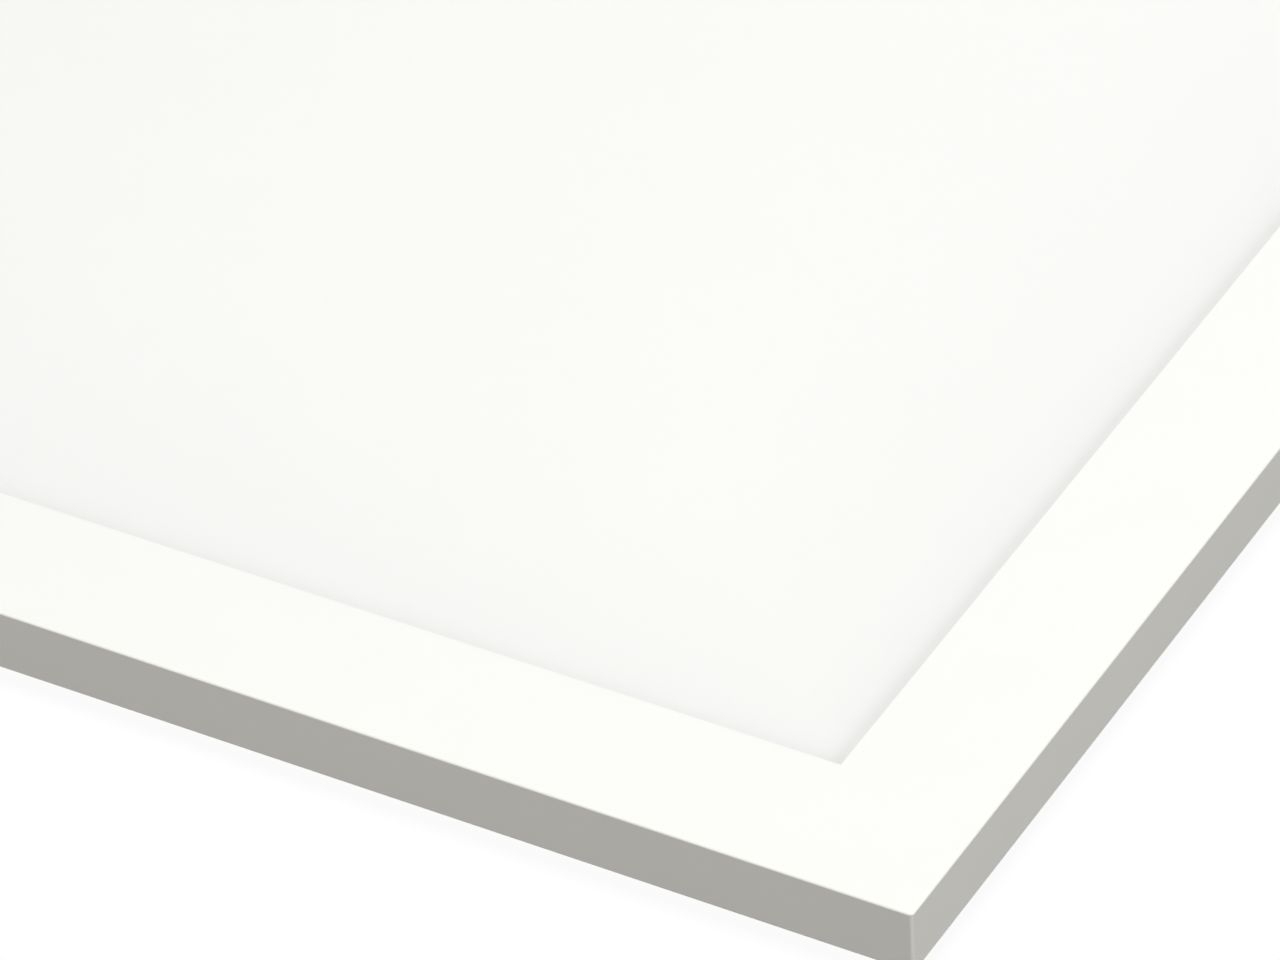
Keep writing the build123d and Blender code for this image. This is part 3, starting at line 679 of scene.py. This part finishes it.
def add_feet():
    """The rubber feet: a dimple, three fine rings on the ground face, a flared side, a stem and a barb.

    The ground face rises by the rings' depth times the square of the sine of three half turns across it.
    The dimple's depth lessens by its dome times the square of the share of its radius.
    """
    names = [name for name in nodes if name.startswith("foot_")]
    low, high = box_mm(names[0])
    seat, top = box_mm("back_cover")[0][2], high[2]
    cover_top = seat + COVER_SHEET
    widest = (high[0] - low[0]) / 2
    base = widest - FOOT_FLARE
    share = np.linspace(0, 1, 8)
    dimple = np.stack([DIMPLE_RADIUS * share, DIMPLE_DEPTH - DIMPLE_DOME * share**2], 1)
    rim = DIMPLE_RADIUS + 2 * DIMPLE_LIP
    inner_lip = arc((DIMPLE_RADIUS, dimple[-1, 1] - DIMPLE_LIP), DIMPLE_LIP, 90, 0, 5)
    outer_lip = arc((rim, DIMPLE_LIP), DIMPLE_LIP, 180, 270, 5)
    share = np.linspace(0, 1, 40)[1:]
    rings = RING_DEPTH * np.sin(3 * np.pi * share) ** 2
    ground = np.stack([rim + (base - FOOT_EDGE - rim) * share, rings], 1)
    edge = arc((base - FOOT_EDGE, FOOT_EDGE), FOOT_EDGE, -78, -12, 6)
    side = [(widest - 0.12, seat - 0.2), (widest, seat - 0.08), (widest - 0.08, seat)]
    stem = [(FOOT_STEM, seat), (FOOT_STEM, cover_top), (FOOT_BARB - 0.15, cover_top)]
    barb = [(FOOT_BARB, cover_top + 0.12), (1.1, top - 0.15), (0.9, top), (0, top)]
    foot = turned(np.concatenate([dimple, inner_lip, outer_lip, ground, edge, side, stem, barb]))
    feet = [set_at(foot, box_mm(name).mean(0)) for name in names]
    add_piece("rubber_feet", "foot_rubber", "table", names, feet)


# ---------------------------------------------------------------- push button
BUTTON_FLANGE_OVERLAP = 0.5
BUTTON_FLANGE = 1.0
BUTTON_BOSS = 3.4
BUTTON_BOSS_LENGTH = 1.5
BUTTON_DISH = 0.25
BUTTON_ROUNDING = 0.45
SOCKET_FIT = 0.02
SPRING_WIRE = 0.1  # the wire's radius


def rounded_bar(length, height, angle):
    """A bar's outline with round ends, by the angle from its middle, as x and z.

    A ray at an angle meets the straight side at half the height over the sine, and past it the end's circle.
    """
    radius, straight = height / 2, (length - height) / 2
    cosine, sine = np.abs(np.cos(angle)), np.abs(np.sin(angle))
    side = radius / np.maximum(sine, 1e-9)
    end = straight * cosine + np.sqrt(np.maximum(radius**2 - (straight * sine) ** 2, 0))
    reach = np.where(side * cosine <= straight, side, end)
    return np.stack([reach * np.cos(angle), reach * np.sin(angle)], -1)


def square(size, angle):
    """A square's outline by the angle from its middle, as x and z."""
    reach = size / 2 / np.maximum(np.abs(np.cos(angle)), np.abs(np.sin(angle)))
    return np.stack([reach * np.cos(angle), reach * np.sin(angle)], -1)


def add_button():
    """The push button's cap, from rings of its outline along Y.

    The face is dished by the dish's depth times one less the square of the ring's share of the outline. Then
    come the edge, a quarter of a circle, the side, the flange behind the wall, and the square boss with the
    plunger's socket.
    """
    low, high = box_mm("power_button")
    plunger = box_mm("switch_plunger")
    length, height = (high - low)[[0, 2]] - 2 * BUTTON_FLANGE_OVERLAP
    quarter = np.radians(np.concatenate([np.linspace(0, 36, 17), [40, 45], np.linspace(50, 90, 9)]))
    half = np.concatenate([quarter, np.pi - quarter[-2::-1]])
    angle = np.concatenate([half, np.pi + half[1:-1]])

    def bar(growth):
        """The cap's outline, larger all round by a growth."""
        return rounded_bar(length + 2 * growth, height + 2 * growth, angle)

    front, boss_end, socket_floor = high[1], low[1], plunger[1][1]
    face = bar(-BUTTON_ROUNDING)
    rings = [(face * share, front - BUTTON_DISH * (1 - share**2)) for share in np.linspace(0, 1, 13)]
    for turn in np.radians(np.linspace(15, 90, 6)):
        inset, depth = BUTTON_ROUNDING * (1 - math.sin(turn)), BUTTON_ROUNDING * (1 - math.cos(turn))
        rings.append((bar(-inset), front - depth))
    flange_back = boss_end + BUTTON_BOSS_LENGTH
    flange_front = flange_back + BUTTON_FLANGE
    flange, boss = bar(BUTTON_FLANGE_OVERLAP), square(BUTTON_BOSS, angle)
    socket = square(plunger[1][0] - plunger[0][0] + 2 * SOCKET_FIT, angle)
    rings += [(bar(0), flange_front), (flange, flange_front), (flange, flange_back), (boss, flange_back)]
    rings += [(boss, boss_end), (socket, boss_end), (socket, socket_floor), (0 * socket, socket_floor)]
    outlines, depths = np.array([ring[0] for ring in rings]), np.array([ring[1] for ring in rings])
    middle = (low + high) / 2
    y = depths[:, None] + 0 * angle
    grid = np.stack([middle[0] + outlines[..., 0], y, middle[2] + outlines[..., 1]], -1)
    add_piece("button_cap", "button_white", "button", ["power_button"], [grid])


def add_return_spring():
    """The button's return spring: a round wire wound round Y, with a closed turn at each end.

    Along the wire, the depth grows by a little more than the wire's thickness over the first turn and the
    last, and evenly between them.
    """
    low, high = box_mm("switch_spring")
    middle, wire, turns = (low + high) / 2, SPRING_WIRE, 5
    radius, close = (high[0] - low[0]) / 2 - wire, 2.1 * wire
    turn = np.linspace(0, turns, 24 * turns + 1)
    start, end = low[1] + wire, high[1] - wire
    depth = np.interp(turn, [0, 1, turns - 1, turns], [start, start + close, end - close, end])
    along = np.array([0, 1, 0])
    outward = np.stack([np.cos(2 * np.pi * turn), 0 * turn, np.sin(2 * np.pi * turn)], -1)[:, None]
    centre = middle * [1, 0, 1] + radius * outward + depth[:, None, None] * along
    around = np.linspace(0, 2 * np.pi, 12, endpoint=False)[:, None]
    tube = centre + wire * (np.cos(around) * outward + np.sin(around) * along)
    ends = [np.repeat(centre[k : k + 1], len(around), 1) for k in (0, len(turn) - 1)]
    grid = np.concatenate([ends[0], tube, ends[1]])
    spring = add_piece("return_spring", "contact_nickel", "table", ["switch_spring"], [grid])
    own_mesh(spring)


# ---------------------------------------------------------------- capacitors
CRIMP_DEPTH = 0.18
CAN_SHOULDER = 0.35
LID_MARGIN = 0.45
LID_SINK = 0.08
LID_SCORE = 0.1


def add_capacitors():
    """The can capacitors: a foot, a crimped neck, a rounded shoulder and a sunk lid scored with a cross.

    The neck draws in by the crimp's depth times the square of the sine of half a turn along it.
    """
    cans, lids = [], []
    for low, high in solids("board_capacitors"):
        radius, top, spot = (high[0] - low[0]) / 2, high[2], (low + high) / 2
        lid_rim = radius - LID_MARGIN
        lid = crossed_face(lid_rim, LID_SINK - top, 0.0, LID_SCORE) * [1, 1, -1]
        share = np.linspace(0, 1, 9)
        foot = [(0, low[2]), (radius - 0.12, low[2]), (radius, low[2] + 0.12)]
        crimp = CRIMP_DEPTH * np.sin(np.pi * share) ** 2
        neck = np.stack([radius - crimp, low[2] + 0.55 + 0.5 * share], 1)
        shoulder = arc((radius - CAN_SHOULDER, top - CAN_SHOULDER), CAN_SHOULDER, 0, 90, 7)
        seam = [(lid_rim + 0.05, top), (lid_rim, top - LID_SINK)]
        profile = np.concatenate([foot, neck, shoulder, seam])
        cans.append(set_at(turned(profile, rim_angles(lid)), spot))
        lids.append(set_at(lid, spot))
    add_piece("capacitor_cans", "capacitor_can", "table", ["board_capacitors"], cans, lids)


# ---------------------------------------------------------------- lamps, floor and world
# In metres and watts. Each lamp: where it stands, its size, its power and its tint.
LAMPS = {
    "side": ((1.55, -0.15, 0.55), 0.8, 9.3, (1.0, 0.995, 0.975)),
    "front": ((0.15, -1.4, 0.7), 0.9, 8.35, (1.0, 0.97, 0.945)),
    "overhead": ((0.17, -0.01, 1.5), 0.35, 14.8, (0.99, 1.0, 1.0)),
    "back": ((-0.4, 1.7, 0.42), 0.7, 9.0, (1.0, 1.0, 1.0)),
}
WHITE = (1.0, 1.0, 1.0)
SKY_STRENGTH = 0.01
FLOOR_HALF = 4.0
FLOOR_BOUNCE = (0.1, 0.095, 0.086)
FLOOR_SHADOW = 0.07  # the share of the floor's white that a full shadow takes away
FLOOR_GLOW = 0.6
GLOW_INSET = 0.002  # from the table's outline in to the glow under it


def add_lamps():
    """Square soft lamps that look at the table's middle."""
    for name, (place_at, size, power, tint) in LAMPS.items():
        data = bpy.data.lights.new(name, "AREA")
        data.size = size
        data.energy = power
        data.color = tint
        lamp = bpy.data.objects.new(name, data)
        lamp.location = place_at
        lamp.rotation_euler = (-Vector(place_at)).to_track_quat("-Z", "Y").to_euler()
        bpy.context.scene.collection.objects.link(lamp)


def seen_directly(tree):
    """1 for rays from the camera, or by way of a mirror or glass, and 0 for the others."""
    path = tree.nodes.new("ShaderNodeLightPath")
    total = path.outputs["Is Camera Ray"]
    for ray in ("Is Glossy Ray", "Is Transmission Ray"):
        total = calculate(tree, "MAXIMUM", total, path.outputs[ray])
    return total


def mix_shaders(tree, factor, first, second):
    """One shader where the factor is 0, and the other where it is 1."""
    node = tree.nodes.new("ShaderNodeMixShader")
    if isinstance(factor, float):
        node.inputs["Fac"].default_value = factor
    else:
        tree.links.new(factor, node.inputs["Fac"])
    tree.links.new(first, node.inputs[1])
    tree.links.new(second, node.inputs[2])
    return node.outputs["Shader"]


def diffuse(tree, colour):
    """A matt surface of one colour."""
    node = tree.nodes.new("ShaderNodeBsdfDiffuse")
    node.inputs["Color"].default_value = (*colour, 1)
    return node.outputs["BSDF"]


def glow(tree, strength):
    """White light of a strength."""
    node = tree.nodes.new("ShaderNodeEmission")
    node.inputs["Color"].default_value = (*WHITE, 1)
    node.inputs["Strength"].default_value = strength
    return node.outputs["Emission"]


def add_world():
    """A white surround to look at, and a softer one that lights the table."""
    world = bpy.data.worlds.new("studio")
    bpy.context.scene.world = world
    world.use_nodes = True
    tree = world.node_tree
    tree.nodes.clear()
    output = tree.nodes.new("ShaderNodeOutputWorld")
    light = tree.nodes.new("ShaderNodeBackground")
    light.inputs["Color"].default_value = (*WHITE, 1)
    light.inputs["Strength"].default_value = SKY_STRENGTH
    white = tree.nodes.new("ShaderNodeBackground")
    white.inputs["Color"].default_value = (*WHITE, 1)
    white.inputs["Strength"].default_value = 1.0
    mixed = mix_shaders(tree, seen_directly(tree), light.outputs[0], white.outputs[0])
    tree.links.new(mixed, output.inputs["Surface"])


def add_floor():
    """A wide pale floor that keeps a faint shadow where it is seen, and is clear from below.

    Under the table, and beside its left and rear faces, it gives a soft light, so that the faces that are
    turned away from the lamps show.
    """
    corners = [(x * FLOOR_HALF, y * FLOOR_HALF, 0) for x, y in ((-1, -1), (1, -1), (1, 1), (-1, 1))]
    mesh = bpy.data.meshes.new("floor")
    mesh.from_pydata(corners, [], [(0, 1, 2, 3)])
    floor = bpy.data.objects.new("floor", mesh)
    bpy.context.scene.collection.objects.link(floor)
    material = bpy.data.materials.new("pale floor")
    material.use_nodes = True
    material.cycles.emission_sampling = "NONE"
    tree = material.node_tree
    tree.nodes.clear()
    output = tree.nodes.new("ShaderNodeOutputMaterial")
    bounce = diffuse(tree, FLOOR_BOUNCE)
    parts = tree.nodes.new("ShaderNodeSeparateXYZ")
    tree.links.new(tree.nodes.new("ShaderNodeTexCoord").outputs["Object"], parts.inputs["Vector"])
    under = [
        calculate(tree, "LESS_THAN", calculate(tree, "ABSOLUTE", parts.outputs[axis]), reach - GLOW_INSET)
        for axis, reach in zip("XY", -cad_box[0])
    ]
    left = calculate(tree, "LESS_THAN", parts.outputs["X"], cad_box[0].x)
    behind = calculate(tree, "GREATER_THAN", parts.outputs["Y"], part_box("rail_rear")[1].y)
    beside = calculate(tree, "MAXIMUM", left, behind)
    glowing = calculate(tree, "MAXIMUM", beside, calculate(tree, "MULTIPLY", *under))
    unseen = mix_shaders(tree, glowing, bounce, glow(tree, FLOOR_GLOW))
    seen = mix_shaders(tree, FLOOR_SHADOW, glow(tree, 1.0), diffuse(tree, WHITE))
    above = mix_shaders(tree, seen_directly(tree), unseen, seen)
    clear = tree.nodes.new("ShaderNodeBsdfTransparent").outputs["BSDF"]
    from_below = tree.nodes.new("ShaderNodeNewGeometry").outputs["Backfacing"]
    tree.links.new(mix_shaders(tree, from_below, above, clear), output.inputs["Surface"])
    dress(floor, material)


# ---------------------------------------------------------------- the scene
add_camera()
add_world()
add_floor()
add_lamps()
finishes = all_finishes()
for row in frame["record"]["subparts"]:
    dress(nodes[row["node"]], finishes[row["material_slot"]])
add_cover_screws()
add_feet()
add_button()
add_return_spring()
add_capacitors()
add_sunk_screws("key_screws", "corner_key_screws", KEY_SCREW_SHANK)
add_sunk_screws("control_board_screws", "board_screws", BOARD_SCREW_SHANK)

bpy.context.scene.view_settings.view_transform = "Standard"
